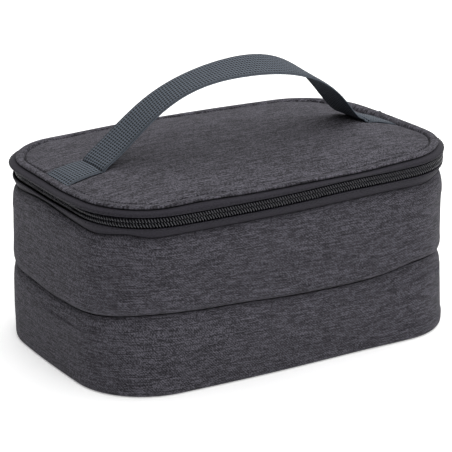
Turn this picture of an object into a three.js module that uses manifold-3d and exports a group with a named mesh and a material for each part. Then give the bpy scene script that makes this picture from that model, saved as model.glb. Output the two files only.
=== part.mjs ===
// Insulated casserole carrier: a soft zipped box with a padded lid, a webbing handle and one zip slider.
// Millimetres, +Z up. The origin is the middle of the base on the surface that the carrier stands on.
// +X runs along the long side, and the front faces -Y.
import * as THREE from 'three';
import { mergeVertices } from 'three/addons/utils/BufferGeometryUtils.js';
import Module from 'manifold-3d';

// Plan outline of the wall: eight tangent arcs
const halfLength = 119;
const halfDepth = 78;
const endBowRadius = 510;
const sideBowRadius = 1030;
const cornerRadius = 44;

// Heights of the wall
const waistHeight = 45.3;
const wallHeight = 92.6;
const foamRise = 0.9;
const baseCurl = 2.5;

// Layers of the wall, base and lid
const clearance = 0.3;
const shellThickness = 1.2;
const foamThickness = 4.8;
const liningThickness = 0.6;
const boardThickness = 2;
const stripThickness = 1;
const stripFold = 0.8;

// How the soft panels swell and tuck in at their seams
const bandSwell = 0.5;
const wallSwell = 0.9;
const lipSwell = 0.7;
const waistTuck = 1;
const stripSeamTuck = 1.2;
const stripSeamFall = 7.2;
const seamLip = 2.4;

// Zip chain
const lowerStripHeight = 4.5;
const upperStripHeight = 3.6;
const zipOverhang = 1.1;
const lowerZipGap = 1.2;
const upperZipGap = 0.6;
const coilHeight = 2.8;
const coilThickness = 1.6;
const coilProud = 0.2;
const toothPitch = 4;
const toothReach = 1.2;
const toothGap = 0.4;
const tapeThickness = 0.6;
const bindingHeight = 3.6;
const bindingWidth = 4.4;

// Lid
const rimInset = 2;
const rollWidth = 5;
const rollThickness = 2.2;
const rollShoulder = 1.65;
const rollFoot = 0.7;
const panelRise = 0.7;
const lidCrown = 4.2;
const crownPower = 4;

// Webbing handle
const webbingWidth = 25;
const webbingThickness = 1.6;
const handleEndInset = 1.4;
const handleEndLength = 20;
const handleRise = 47;
const handleReach = 13;
const apexShift = -3;
const strapRootRise = 14;
// The ribbon's twist is a quartic Bezier function with these middle values and no twist at the feet
const handleTwists = [-24, 47, -11].map(THREE.MathUtils.degToRad);
// Where the arch's control points lie, as shares of its half span and its rise
const archLeft = { low: 0.7, high: 0.66, steep: 0.28 };
const archRight = { low: 0.8, high: 0.75, steep: 0.03 };

// Zip slider and pull
const sliderPlace = 26;
const sliderLength = 11;
const sliderWaist = 0.8;
const sliderPlate = 1.2;
const sliderFlange = 0.6;
const bailLength = 8;
const bailWidth = 2.2;
const bailThickness = 1.2;
const pullWire = 1;
const pullLength = 22;
const pullWidth = 7;
const pullNeck = 2.1;
const pullThickness = 1.4;

// Facets
const cornerSteps = 6;
const endSteps = 4;
const sideSteps = 4;
const curlSteps = 3;
const strapSteps = 22;
const rootSteps = 4;
const searchStep = 0.001;
const wireSides = 8;
const loopSteps = 18;
const plateCurveSteps = 6;
const bailCurveSteps = 3;
const tabCurveSteps = 8;

// Heights that follow from the zip
const coilBottom = wallHeight + lowerStripHeight + lowerZipGap;
const zipCentre = coilBottom + coilHeight + toothGap / 2;
const coilTop = zipCentre + toothGap / 2 + coilHeight;
const rimHeight = coilTop + upperZipGap + upperStripHeight;

// Offsets from the wall line that follow from the layers
const foamFace = -waistTuck - shellThickness - clearance;
const foamBack = foamFace - foamThickness;
const liningFace = foamBack - clearance;
const liningBack = liningFace - liningThickness;
const coilFace = zipOverhang + coilProud;
const tapeFace = coilFace - coilThickness - clearance;
const rollFace = -rimInset - clearance;
const rollBack = rollFace - rollWidth;
const panelEdge = rollBack - clearance;
const foamTop = wallHeight + foamRise;

const wasm = await Module();
wasm.setup();

const point = (offset, height) => new THREE.Vector2(offset, height);

// The plan outline as arcs in order of the direction they face, from the middle of the back round to it
function planArcs() {
  const endCentre = halfLength - endBowRadius;
  const sideCentre = halfDepth - sideBowRadius;
  const fromEnd = endBowRadius - cornerRadius;
  const fromSide = sideBowRadius - cornerRadius;
  const apart = Math.hypot(endCentre, sideCentre);
  const along = (fromEnd ** 2 - fromSide ** 2 + apart ** 2) / (2 * apart);
  const across = Math.sqrt(fromEnd ** 2 - along ** 2);
  const unitX = -endCentre / apart;
  const unitY = sideCentre / apart;
  const cornerX = endCentre + unitX * along - unitY * across;
  const cornerY = unitY * along + unitX * across;
  const endTurn = Math.atan2(cornerY, cornerX - endCentre);
  const sideTurn = Math.atan2(cornerY - sideCentre, cornerX);
  const half = Math.PI;
  const arc = (x, y, radius, from, to, steps) => ({ x, y, radius, from, to, steps });
  return [
    arc(0, sideCentre, sideBowRadius, half / 2, half - sideTurn, sideSteps / 2),
    arc(-cornerX, cornerY, cornerRadius, half - sideTurn, half - endTurn, cornerSteps),
    arc(-endCentre, 0, endBowRadius, half - endTurn, half + endTurn, endSteps),
    arc(-cornerX, -cornerY, cornerRadius, half + endTurn, half + sideTurn, cornerSteps),
    arc(0, -sideCentre, sideBowRadius, half + sideTurn, 2 * half - sideTurn, sideSteps),
    arc(cornerX, -cornerY, cornerRadius, 2 * half - sideTurn, 2 * half - endTurn, cornerSteps),
    arc(endCentre, 0, endBowRadius, 2 * half - endTurn, 2 * half + endTurn, endSteps),
    arc(cornerX, cornerY, cornerRadius, 2 * half + endTurn, 2 * half + sideTurn, cornerSteps),
    arc(0, sideCentre, sideBowRadius, 2 * half + sideTurn, 2.5 * half, sideSteps / 2),
  ];
}

const arcs = planArcs();
const zipStart = arcs[1].from;
const zipEnd = arcs[7].to;

// A frame on the wall line that faces the given way: its right side points out of the bag
function planFrame(turn) {
  const arc = arcs.find((one) => turn <= one.to) ?? arcs.at(-1);
  const right = new THREE.Vector3(Math.cos(turn), Math.sin(turn), 0);
  const origin = right.clone().multiplyScalar(arc.radius).add(new THREE.Vector3(arc.x, arc.y, 0));
  return { origin, right, up: new THREE.Vector3(0, 0, 1) };
}

function planFrames(from, to) {
  const turns = [from];
  for (const arc of arcs) {
    for (let step = 1; step <= arc.steps; step += 1) {
      const turn = arc.from + ((arc.to - arc.from) * step) / arc.steps;
      if (turn > from + 1e-6 && turn < to - 1e-6) {
        turns.push(turn);
      }
    }
  }
  turns.push(to);
  return turns.map(planFrame);
}

const allRound = planFrames(arcs[0].from, arcs[8].to).slice(0, -1);
const zipRun = planFrames(zipStart, zipEnd);
const hingeEndTurn = clearance / sideBowRadius;
const hingeRun = [
  ...planFrames(zipEnd + hingeEndTurn, arcs[8].to).slice(0, -1),
  ...planFrames(arcs[0].from, zipStart - hingeEndTurn),
];

// Frames at even steps along the zip, for its teeth
function toothFrames() {
  const runArcs = arcs.slice(1, 8);
  const length = runArcs.reduce((sum, arc) => sum + arc.radius * (arc.to - arc.from), 0);
  const count = 2 * Math.round(length / toothPitch);
  const frames = [];
  let arcIndex = 0;
  let before = 0;
  for (let step = 0; step <= count; step += 1) {
    const place = (length * step) / count;
    let arc = runArcs[arcIndex];
    while (arcIndex < runArcs.length - 1 && place > before + arc.radius * (arc.to - arc.from)) {
      before += arc.radius * (arc.to - arc.from);
      arcIndex += 1;
      arc = runArcs[arcIndex];
    }
    frames.push(planFrame(Math.min(arc.to, arc.from + (place - before) / arc.radius)));
  }
  return frames;
}

function meshGeometry(positions, indices) {
  const geometry = new THREE.BufferGeometry();
  geometry.setAttribute('position', new THREE.Float32BufferAttribute(positions, 3));
  geometry.setIndex(indices);
  geometry.computeVertexNormals();
  return geometry;
}

// A closed solid swept through frames. profileAt gives each frame's section, with points anticlockwise.
function sweep(frames, profileAt, closed = false) {
  const sections = frames.map((frame, index) => profileAt(index));
  const rows = sections[0].length;
  const positions = [];
  frames.forEach((frame, index) => {
    for (const { x, y } of sections[index]) {
      const place = frame.origin.clone().addScaledVector(frame.right, x).addScaledVector(frame.up, y);
      positions.push(place.x, place.y, place.z);
    }
  });
  const indices = [];
  const bays = closed ? frames.length : frames.length - 1;
  for (let bay = 0; bay < bays; bay += 1) {
    const here = bay * rows;
    const next = ((bay + 1) % frames.length) * rows;
    for (let row = 0; row < rows; row += 1) {
      const after = (row + 1) % rows;
      indices.push(here + row, next + row, next + after);
      indices.push(here + row, next + after, here + after);
    }
  }
  if (!closed) {
    const last = (frames.length - 1) * rows;
    for (const [a, b, c] of THREE.ShapeUtils.triangulateShape(sections[0], [])) {
      indices.push(a, b, c);
    }
    for (const [a, b, c] of THREE.ShapeUtils.triangulateShape(sections.at(-1), [])) {
      indices.push(last + c, last + b, last + a);
    }
  }
  return meshGeometry(positions, indices);
}

const ring = (profile) => sweep(allRound, () => profile, true);

// A line moved sideways by a distance, to the left of the way it runs
function besideLine(line, distance) {
  return line.map((here, index) => {
    const before = line[Math.max(0, index - 1)];
    const after = line[Math.min(line.length - 1, index + 1)];
    const into = here.clone().sub(before).normalize();
    const out = after.clone().sub(here).normalize();
    const way = into.clone().add(out).normalize();
    const stretch = 1 / Math.max(0.5, Math.max(way.dot(into), way.dot(out)));
    return point(here.x - way.y * distance * stretch, here.y + way.x * distance * stretch);
  });
}

// The section of a sheet whose outer face is a line that runs upwards
const sheet = (line, thickness) => [...line, ...besideLine(line, thickness).reverse()];

// A closed slab over the whole plan, with its outline at an offset from the wall line. Its profile runs from
// the middle of the top to the middle of the underside, as pairs of a share of the outline and a height.
function slab(offset, profile) {
  const positions = [0, 0, profile[0][1]];
  const inner = profile.slice(1, -1);
  for (const [share, height] of inner) {
    for (const { origin, right } of allRound) {
      const place = origin.clone().addScaledVector(right, offset).multiplyScalar(share);
      positions.push(place.x, place.y, height);
    }
  }
  positions.push(0, 0, profile.at(-1)[1]);
  const count = allRound.length;
  const lastPoint = 1 + inner.length * count;
  const indices = [];
  for (let step = 0; step < count; step += 1) {
    const next = (step + 1) % count;
    indices.push(0, 1 + step, 1 + next);
    for (let row = 0; row < inner.length - 1; row += 1) {
      const here = 1 + row * count;
      const below = here + count;
      indices.push(here + step, below + step, below + next);
      indices.push(here + step, below + next, here + next);
    }
    const lowest = 1 + (inner.length - 1) * count;
    indices.push(lastPoint, lowest + next, lowest + step);
  }
  return meshGeometry(positions, indices);
}

const flatSlab = (offset, low, high) => slab(offset, [[0, high], [1, high], [1, low], [0, low]]);

function toSolid(geometry) {
  const bare = geometry.clone();
  bare.deleteAttribute('normal');
  bare.deleteAttribute('uv');
  const merged = mergeVertices(bare);
  return new wasm.Manifold(new wasm.Mesh({
    numProp: 3,
    vertProperties: new Float32Array(merged.getAttribute('position').array),
    triVerts: new Uint32Array(merged.getIndex().array),
  }));
}

function fromSolid(solid) {
  const { vertProperties, triVerts } = solid.getMesh();
  return meshGeometry(Array.from(vertProperties), Array.from(triVerts));
}

const joined = (pieces) => fromSolid(pieces.map(toSolid).reduce((whole, piece) => whole.add(piece)));

// Materials
const fabricMaterial = (color) => new THREE.MeshStandardMaterial({ color, roughness: 0.9, metalness: 0 });
const melange = fabricMaterial('#4b4a4f');
const plainFabric = fabricMaterial('#3c3a40');
const webbing = fabricMaterial('#58626b');
const zipTape = fabricMaterial('#1d1d21');
const bindingTape = fabricMaterial('#2a2a2e');
const foam = fabricMaterial('#e6e6e2');
const foil = new THREE.MeshStandardMaterial({ color: '#b9bcc0', roughness: 0.35, metalness: 0.6 });
const board = new THREE.MeshStandardMaterial({ color: '#2b2b2d', roughness: 0.6, metalness: 0 });
const nylon = new THREE.MeshStandardMaterial({ color: '#17171a', roughness: 0.4, metalness: 0 });
const darkMetal = new THREE.MeshStandardMaterial({ color: '#1f2022', roughness: 0.4, metalness: 0.8 });

const carrier = new THREE.Group();

function place(name, geometry, material, parent = carrier) {
  const mesh = new THREE.Mesh(geometry, material);
  mesh.name = name;
  parent.add(mesh);
  return mesh;
}

// Base: outer panel, stiff board, foam and lining
function addBase() {
  const boardLow = shellThickness + clearance;
  const foamLow = boardLow + boardThickness + clearance;
  const liningLow = foamLow + foamThickness + clearance;
  place('bottom_panel', flatSlab(-baseCurl - clearance, 0, shellThickness), melange);
  place('base_board', flatSlab(-baseCurl - clearance, boardLow, boardLow + boardThickness), board);
  place('base_foam', flatSlab(foamBack - clearance, foamLow, foamLow + foamThickness), foam);
  place('base_lining', flatSlab(liningBack - clearance, liningLow, liningLow + liningThickness), foil);
  return { foamLow, liningLow };
}

// Wall: two bands of cloth that tuck in at the waist seam, with foam and lining behind them
function addWall({ foamLow, liningLow }) {
  const bandLine = [];
  for (let step = 0; step <= curlSteps; step += 1) {
    const turn = (Math.PI / 2) * (step / curlSteps);
    bandLine.push(point(baseCurl * (Math.sin(turn) - 1), clearance + baseCurl * (1 - Math.cos(turn))));
  }
  bandLine.push(point(bandSwell, waistHeight / 2), point(bandSwell, waistHeight - seamLip));
  bandLine.push(point(-waistTuck, waistHeight - clearance / 2));
  place('lower_wall_panel', ring(sheet(bandLine, shellThickness)), melange);

  const wallMiddle = (waistHeight + wallHeight) / 2;
  const wallLine = [
    point(-waistTuck, waistHeight + clearance / 2),
    point(lipSwell, waistHeight + seamLip),
    point(wallSwell, wallMiddle),
    point(0, wallHeight - stripSeamFall),
    point(-stripSeamTuck, wallHeight),
  ];
  place('upper_wall_panel', ring(sheet(wallLine, shellThickness)), melange);

  const behindShell = -shellThickness - clearance;
  const foamProfile = [
    point(foamBack, foamLow),
    point(behindShell - bandSwell, foamLow),
    point(behindShell, foamLow + baseCurl),
    point(behindShell, waistHeight - 2 * seamLip),
    point(foamFace - clearance, waistHeight),
    point(behindShell, waistHeight + 2 * seamLip),
    point(behindShell, wallMiddle),
    point(foamFace - stripSeamTuck, foamTop),
    point(foamBack, foamTop),
  ];
  place('wall_foam', ring(foamProfile), foam);

  const liningProfile = [
    point(liningBack, liningLow),
    point(liningFace, liningLow),
    point(liningFace, foamTop),
    point(liningBack, foamTop),
  ];
  place('wall_lining', ring(liningProfile), foil);

  const bindingLow = foamTop + clearance;
  const bindingFace = liningBack + bindingWidth;
  const bindingRound = bindingWidth / 4;
  place('mouth_binding', ring([
    point(liningBack, bindingLow),
    point(bindingFace, bindingLow),
    point(bindingFace, bindingLow + bindingHeight - bindingRound),
    point(bindingFace - bindingRound, bindingLow + bindingHeight),
    point(liningBack + bindingRound, bindingLow + bindingHeight),
    point(liningBack, bindingLow + bindingHeight - bindingRound),
  ]), bindingTape);
}

// Zip: a cloth strip, a tape and a row of teeth on each side of the mouth, with the teeth in mesh
function addZip() {
  const seamLow = wallHeight + clearance;
  const stripTop = coilBottom - lowerZipGap;
  const lowerStrip = [
    point(-stripSeamTuck, seamLow), point(zipOverhang, stripTop - stripFold), point(zipOverhang, stripTop),
  ];
  place('lower_zip_strip', sweep(zipRun, () => sheet(lowerStrip, stripThickness)), plainFabric);

  const tapeSlant = stripSeamTuck + stripThickness + clearance;
  const lowerTape = [
    point(tapeFace - tapeSlant, foamTop + 2 * clearance),
    point(tapeFace, stripTop - clearance),
    point(tapeFace, zipCentre - toothGap),
  ];
  place('lower_zip_tape', sweep(zipRun, () => sheet(lowerTape, tapeThickness)), zipTape);

  const stripLow = coilTop + upperZipGap;
  const rimSeam = point(-rimInset, rimHeight - clearance / 2);
  const upperStrip = [point(zipOverhang, stripLow), point(zipOverhang, stripLow + stripFold), rimSeam];
  place('upper_zip_strip', sweep(zipRun, () => sheet(upperStrip, stripThickness)), plainFabric);

  const upperTape = [
    point(tapeFace, zipCentre + toothGap),
    point(tapeFace, stripLow - stripThickness + clearance),
    point(tapeFace - rimInset, rimHeight - stripThickness - clearance),
  ];
  place('upper_zip_tape', sweep(zipRun, () => sheet(upperTape, tapeThickness)), zipTape);

  const frames = toothFrames();
  const coilBack = coilFace - coilThickness;
  const toothLine = (index) => zipCentre + (index % 2 === 0 ? -toothReach / 2 : toothReach / 2);
  const block = (low, high) => [
    point(coilBack, low), point(coilFace, low), point(coilFace, high), point(coilBack, high),
  ];
  const lowerTeeth = (index) => block(coilBottom, toothLine(index) - toothGap / 2);
  const upperTeeth = (index) => block(toothLine(index) + toothGap / 2, coilTop);
  place('lower_zip_teeth', sweep(frames, lowerTeeth), nylon);
  place('upper_zip_teeth', sweep(frames, upperTeeth), nylon);

  const hingeLine = [
    point(-stripSeamTuck, seamLow),
    point(zipOverhang, stripTop - stripFold),
    point(zipOverhang, stripLow + stripFold),
    rimSeam,
  ];
  place('back_hinge_strip', sweep(hingeRun, () => sheet(hingeLine, stripThickness)), plainFabric);
}

// Lid: crowned panel inside a rolled edge, over foam, lining and the binding of its seam
const panelHigh = rimHeight + panelRise;
const panelShares = [0, 0.35, 0.6, 0.8, 1];
const panelTop = (share) => panelHigh + lidCrown * (1 - share ** crownPower);

function addLid() {
  const panelTopLine = panelShares.map((share) => [share, panelTop(share)]);
  const panelUnderside = panelShares.toReversed().map((share) => [share, panelTop(share) - shellThickness]);
  place('lid_panel', slab(panelEdge, [...panelTopLine, ...panelUnderside]), melange);

  const rollLow = panelHigh - shellThickness - clearance;
  const rollMiddle = (rollFace + rollBack) / 2;
  place('lid_edge_roll', ring([
    point(rollBack, rollLow),
    point(rollFace - rollThickness / 2, rollLow),
    point(rollFace, rimHeight + clearance / 2),
    point(rollFace - rollThickness / 2, rollLow + rollShoulder),
    point(rollMiddle, rollLow + rollThickness),
    point(rollBack + rollThickness / 2, rollLow + rollShoulder),
    point(rollBack, rollLow + rollFoot),
  ]), melange);

  const liningLow = zipCentre + toothReach;
  const lidFoamLow = liningLow + liningThickness + clearance;
  const lidFoamEdge = liningBack + clearance;
  const panelToFoam = (halfLength + panelEdge) / (halfLength + lidFoamEdge);
  const underPanel = (share) => panelTop(share) - shellThickness - clearance;
  const foamShares = panelShares.slice(0, -1);
  place('lid_foam', slab(lidFoamEdge, [
    ...foamShares.map((share) => [share * panelToFoam, underPanel(share)]),
    [1, rollLow - clearance],
    [1, lidFoamLow],
    [0, lidFoamLow],
  ]), foam);
  place('lid_lining', flatSlab(lidFoamEdge, liningLow, liningLow + liningThickness), foil);

  const bindingBack = lidFoamEdge + clearance;
  const bindingFace = bindingBack + bindingWidth - clearance;
  const bindingRound = bindingWidth / 4;
  place('lid_binding', ring([
    point(bindingBack, liningLow + bindingRound),
    point(bindingBack + bindingRound, liningLow),
    point(bindingFace - bindingRound, liningLow),
    point(bindingFace, liningLow + bindingRound),
    point(bindingFace, rollLow - clearance),
    point(bindingBack, rollLow - clearance),
  ]), bindingTape);
}

// Handle: one length of webbing, sewn flat to the lid at both ends and arched between them
const panelLength = halfLength + panelEdge;
const seatShare = panelShares.at(-2);
const seatSlope = Math.atan2(panelTop(seatShare) - panelTop(1), panelLength * (1 - seatShare));
const seatHeight = (x) => panelTop(1) + (panelLength - Math.abs(x)) * Math.tan(seatSlope);
const footGap = clearance + webbingThickness;
const footX = panelLength - handleEndInset - handleEndLength - footGap;
const footHeight = seatHeight(footX) + clearance + webbingThickness / 2;
const apexHeight = footHeight + handleRise;

function handleArch() {
  const arch = new THREE.CurvePath();
  const apex = point(apexShift, apexHeight);
  const controls = (side, { low, high, steep }) => [
    point(side * footX, footHeight),
    point(side * footX * low, footHeight + handleRise * steep),
    point(side * footX * high, apexHeight),
  ];
  arch.add(new THREE.CubicBezierCurve(...controls(-1, archLeft), apex));
  arch.add(new THREE.CubicBezierCurve(apex, ...controls(1, archRight).reverse()));
  return arch;
}

function strapTwist(share) {
  const rest = 1 - share;
  const [first, middle, last] = handleTwists;
  return 4 * share * rest ** 3 * first + 6 * share ** 2 * rest ** 2 * middle + 4 * share ** 3 * rest * last;
}

// The ribbon bends over towards the front as it rises
function strapFrame(arch, share) {
  const flat = arch.getPoint(share);
  const slope = arch.getTangent(share);
  const riseShare = (flat.y - footHeight) / handleRise;
  const origin = new THREE.Vector3(flat.x, -handleReach * riseShare ** 2, flat.y);
  const lean = (-2 * handleReach * riseShare) / handleRise;
  const along = new THREE.Vector3(slope.x, slope.y * lean, slope.y).normalize();
  const twist = strapTwist(share);
  const right = new THREE.Vector3(0, -Math.cos(twist), -Math.sin(twist));
  right.addScaledVector(along, -right.dot(along)).normalize();
  return { origin, right, up: right.clone().cross(along) };
}

function addHandle() {
  const halfWidth = webbingWidth / 2;
  const halfThick = webbingThickness / 2;
  const section = [
    point(-halfWidth, -halfThick), point(halfWidth, -halfThick),
    point(halfWidth, halfThick), point(-halfWidth, halfThick),
  ];
  const arch = handleArch();
  const rootShare = (fromRight) => {
    let share = 0;
    while (arch.getPoint(fromRight ? 1 - share : share).y < footHeight + strapRootRise) {
      share += searchStep;
    }
    return share;
  };
  const gapShare = clearance / arch.getLength();
  const stretch = (from, to, steps) => {
    const frames = [];
    for (let step = 0; step <= steps; step += 1) {
      frames.push(strapFrame(arch, from + ((to - from) * step) / steps));
    }
    return sweep(frames, () => section);
  };
  const leftRoot = rootShare(false);
  const rightRoot = rootShare(true);
  place('left_strap_root', stretch(0, leftRoot - gapShare / 2, rootSteps), webbing);
  place('handle_strap', stretch(leftRoot + gapShare / 2, 1 - rightRoot - gapShare / 2, strapSteps), webbing);
  place('right_strap_root', stretch(1 - rightRoot + gapShare / 2, 1, rootSteps), webbing);

  for (const [name, side] of [['left_handle_end', -1], ['right_handle_end', 1]]) {
    const end = new THREE.Group();
    const middle = panelLength - handleEndInset - handleEndLength / 2;
    end.position.set(side * middle, 0, seatHeight(middle) + clearance / Math.cos(seatSlope));
    end.rotation.y = side * seatSlope;
    carrier.add(end);
    const tab = new THREE.BoxGeometry(handleEndLength, webbingWidth, webbingThickness);
    place(name, tab.translate(0, 0, halfThick), webbing, end);
  }
}

// Slider and pull stand in a frame on the right end: X points out of the bag and Y runs along the zip
function addSlider() {
  const turn = Math.asin(sliderPlace / endBowRadius);
  const spot = planFrame(2 * Math.PI + turn);
  const stand = new THREE.Group();
  stand.position.set(spot.origin.x, spot.origin.y, zipCentre);
  stand.rotation.z = turn;
  carrier.add(stand);

  const halfLong = sliderLength / 2;
  const halfHigh = coilTop - zipCentre + clearance + sliderFlange;
  const plateBack = coilFace + clearance;
  const plateFace = plateBack + sliderPlate;
  const outline = new THREE.Shape();
  outline.moveTo(-halfLong, -halfHigh);
  outline.lineTo(halfLong, -halfHigh);
  outline.lineTo(halfLong, halfHigh - sliderWaist);
  outline.quadraticCurveTo(0, halfHigh - sliderWaist, -halfLong, halfHigh);
  outline.closePath();
  // A shape drawn along Y and up Z, given a thickness along X
  const upright = (shape, from, depth, curveSegments) => {
    const geometry = new THREE.ExtrudeGeometry(shape, { depth, bevelEnabled: false, curveSegments });
    geometry.applyMatrix4(new THREE.Matrix4().makeBasis(
      new THREE.Vector3(0, 1, 0), new THREE.Vector3(0, 0, 1), new THREE.Vector3(1, 0, 0),
    ));
    return geometry.translate(from, 0, 0);
  };
  const plate = upright(outline, plateBack, sliderPlate, plateCurveSteps);

  const flangeBack = tapeFace + clearance;
  const flangeDepth = plateFace - flangeBack;
  const flange = new THREE.BoxGeometry(flangeDepth, sliderLength, sliderFlange);
  flange.translate(flangeBack + flangeDepth / 2, 0, -halfHigh + sliderFlange / 2);

  const ringInner = Math.hypot(bailThickness, bailWidth) / 2 + clearance;
  const ringOuter = ringInner + pullWire;
  const bailCentre = plateFace + clearance + ringOuter;
  const bailRise = bailCentre + bailThickness / 2 - plateFace;
  const outer = bailLength / 2;
  const inner = outer - bailThickness;
  const bend = inner - bailThickness;
  const underside = bailRise - bailThickness;
  const bendLow = underside - bailThickness;
  const bail = new THREE.Shape();
  bail.moveTo(-outer, -clearance);
  bail.lineTo(-inner, -clearance);
  bail.lineTo(-inner, bendLow);
  bail.quadraticCurveTo(-inner, underside, -bend, underside);
  bail.lineTo(bend, underside);
  bail.quadraticCurveTo(inner, underside, inner, bendLow);
  bail.lineTo(inner, -clearance);
  bail.lineTo(outer, -clearance);
  bail.lineTo(outer, bendLow);
  bail.quadraticCurveTo(outer, bailRise, bend, bailRise);
  bail.lineTo(-bend, bailRise);
  bail.quadraticCurveTo(-outer, bailRise, -outer, bendLow);
  bail.closePath();
  const bridge = new THREE.ExtrudeGeometry(bail, {
    depth: bailWidth, bevelEnabled: false, curveSegments: bailCurveSteps,
  });
  bridge.translate(0, 0, -bailWidth / 2);
  bridge.applyMatrix4(new THREE.Matrix4().makeBasis(
    new THREE.Vector3(0, 1, 0), new THREE.Vector3(1, 0, 0), new THREE.Vector3(0, 0, -1),
  ));
  bridge.translate(plateFace, 0, 0);
  place('zip_slider', joined([plate, flange, bridge]), darkMetal, stand);

  const loop = new THREE.TorusGeometry(ringInner + pullWire / 2, pullWire / 2, wireSides, loopSteps);
  loop.rotateX(Math.PI / 2);
  const tabTop = -ringInner - pullWire / 2;
  const tabShape = new THREE.Shape();
  tabShape.moveTo(-pullNeck / 2, tabTop);
  tabShape.lineTo(-pullWidth / 2, tabTop - pullNeck);
  tabShape.lineTo(-pullWidth / 2, tabTop - pullLength + pullWidth / 2);
  tabShape.absarc(0, tabTop - pullLength + pullWidth / 2, pullWidth / 2, Math.PI, 2 * Math.PI, false);
  tabShape.lineTo(pullWidth / 2, tabTop - pullNeck);
  tabShape.lineTo(pullNeck / 2, tabTop);
  tabShape.closePath();
  const grip = new THREE.Path();
  grip.absarc(0, tabTop - pullLength + pullWidth / 2, pullWidth / 4, 0, 2 * Math.PI, true);
  tabShape.holes.push(grip);
  const tab = upright(tabShape, -pullThickness / 2, pullThickness, tabCurveSteps);
  const pull = joined([loop, tab]).translate(bailCentre, 0, 0);
  place('zip_pull', pull, darkMetal, stand);
}

addWall(addBase());
addZip();
addLid();
addHandle();
addSlider();

export default carrier;
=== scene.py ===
import math

import bpy
import numpy as np
from mathutils import Matrix, Vector, noise
from mathutils.bvhtree import BVHTree


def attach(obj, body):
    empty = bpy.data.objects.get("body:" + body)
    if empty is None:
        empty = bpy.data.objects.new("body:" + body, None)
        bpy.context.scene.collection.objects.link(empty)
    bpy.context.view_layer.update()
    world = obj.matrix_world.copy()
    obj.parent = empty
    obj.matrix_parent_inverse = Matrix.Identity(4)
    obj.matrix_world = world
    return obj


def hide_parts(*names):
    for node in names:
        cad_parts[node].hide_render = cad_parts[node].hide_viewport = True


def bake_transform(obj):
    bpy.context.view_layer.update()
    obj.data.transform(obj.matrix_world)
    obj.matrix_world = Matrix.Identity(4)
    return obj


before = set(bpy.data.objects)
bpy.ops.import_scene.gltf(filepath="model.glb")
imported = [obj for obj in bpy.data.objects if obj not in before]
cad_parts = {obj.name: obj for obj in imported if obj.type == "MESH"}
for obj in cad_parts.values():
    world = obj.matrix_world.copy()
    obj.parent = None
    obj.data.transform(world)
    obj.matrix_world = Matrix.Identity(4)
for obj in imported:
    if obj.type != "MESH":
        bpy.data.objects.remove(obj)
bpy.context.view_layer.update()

# Shapes are worked out in millimetres and stored in metres
MM = 0.001

# Plan outline of the wall: eight tangent arcs
HALF_LENGTH = 119.0
HALF_DEPTH = 78.0
END_BOW = 510.0
SIDE_BOW = 1030.0
CORNER = 44.0

# Heights
WAIST = 43.7
WALL_TOP = 92.6
STRIP_TOP = 97.9
ZIP_CENTRE = 101.3
STRIP_LOW = 104.9
RIM = 108.5

# Cloth walls: the offset of their inner side and of the bottom seam from the wall line
WALL_INSIDE = -3.0
BOTTOM_SEAM = -7.0
BOTTOM_THICK = 1.25

# Where soft edges wander. A wave has a height, a place round the wall line and a half width.
# Places run from the middle of the back past the left end, the front and the right end.
WAIST_WAVES = (
    (1.2, 60, 30), (5.5, 106, 16), (-1.0, 178, 16), (-0.6, 202, 12), (4.0, 258, 30),
    (2.0, 305, 28), (-1.3, 388, 36), (2.4, 432, 18), (-1.4, 520, 24), (-1.0, 650, 30),
)
GAPE_WAVES = ((0.2, 205, 40), (0.2, 430, 48))
SEAM_WAVES = ((3.0, 170, 28), (-0.7, 221, 7), (1.2, 241, 8), (-0.6, 258, 8), (-1.2, 440, 22))
RIM_WAVES = ((-0.7, 190, 16), (1.0, 288, 22), (-0.7, 390, 26), (-1.0, 515, 32))
ZIP_WAVES = ((0.9, 378, 28),)
LEFT_SWELL_WAVES = ((0.9, 172, 30),)
FOOT_WAVES = ((1.2, 226, 30), (3.4, 434, 34))
GROOVE_WAVES = ((0.55, 50, 40), (0.75, 208, 48), (0.85, 345, 80))
SINK_WAVES = ((0.9, 115, 30), (1.9, 540, 55))
ROLL_WAVES = ((0.5, 545, 60),)

# Zip coils: where they start, and where their heads meet
COIL_PITCH = 1.65
COIL_WIRE = 0.29
COIL_LEAN = 0.52
COIL_LIFT = 1.45
LOWER_COIL = (98.6, 101.9)
UPPER_COIL = (104.2, 101.4)

# How far the zip is tucked and set back round the right end and the left end, and where that begins
ZIP_TUCKS = (0.6, 1.4)
ZIP_DEPTHS = (0.6, 2.6)
RIGHT_TURN = (432, 477)
LEFT_TURN = (250, 190)
STRIP_TURN = (430, 470)

# How much further out the lid's rolled edge reaches, and where that begins
ROLL_REACH = 0.6
ROLL_TURN = (480, 530)

# Stitches beside the zip, and across the feet of the webbing
ZIP_STITCH_PITCH = 3.0
ZIP_STITCH_LENGTH = 2.1
ZIP_THREAD = 0.2
FOOT_STITCH_PITCH = 2.6
FOOT_STITCH_LENGTH = 1.9
FOOT_STITCH_MARGIN = 1.6
FOOT_THREAD = 0.36

# Lid: the offsets of its panel's seam and its groove from the wall line, and its heights over the rim
PANEL_SEAM = -9.0
GROOVE_AT = -7.3
GROOVE_DEPTH = 2.8
GROOVE_WIDTH = 0.5
ROLL_TOP = 1.3
PANEL_EDGE = 1.1
LID_CROWN = 3.7
CROWN_POWER = 4
LID_DROP = 2.4
RIGHT_DROP = 2.2
LEFT_LIFT = 0.8
BACK_DIP = 1.6

# Stretches over which the lid and the zip sink: to the right, to the left and to the back
RIGHT_SLOPE = (-40, 110)
LEFT_SLOPE = (60, 110)
ZIP_BACK_SLOPE = (12, 70)
LID_BACK_SLOPE = (-30, HALF_DEPTH)
RIGHT_BACK_SLOPE = (-60, 50)

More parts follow.
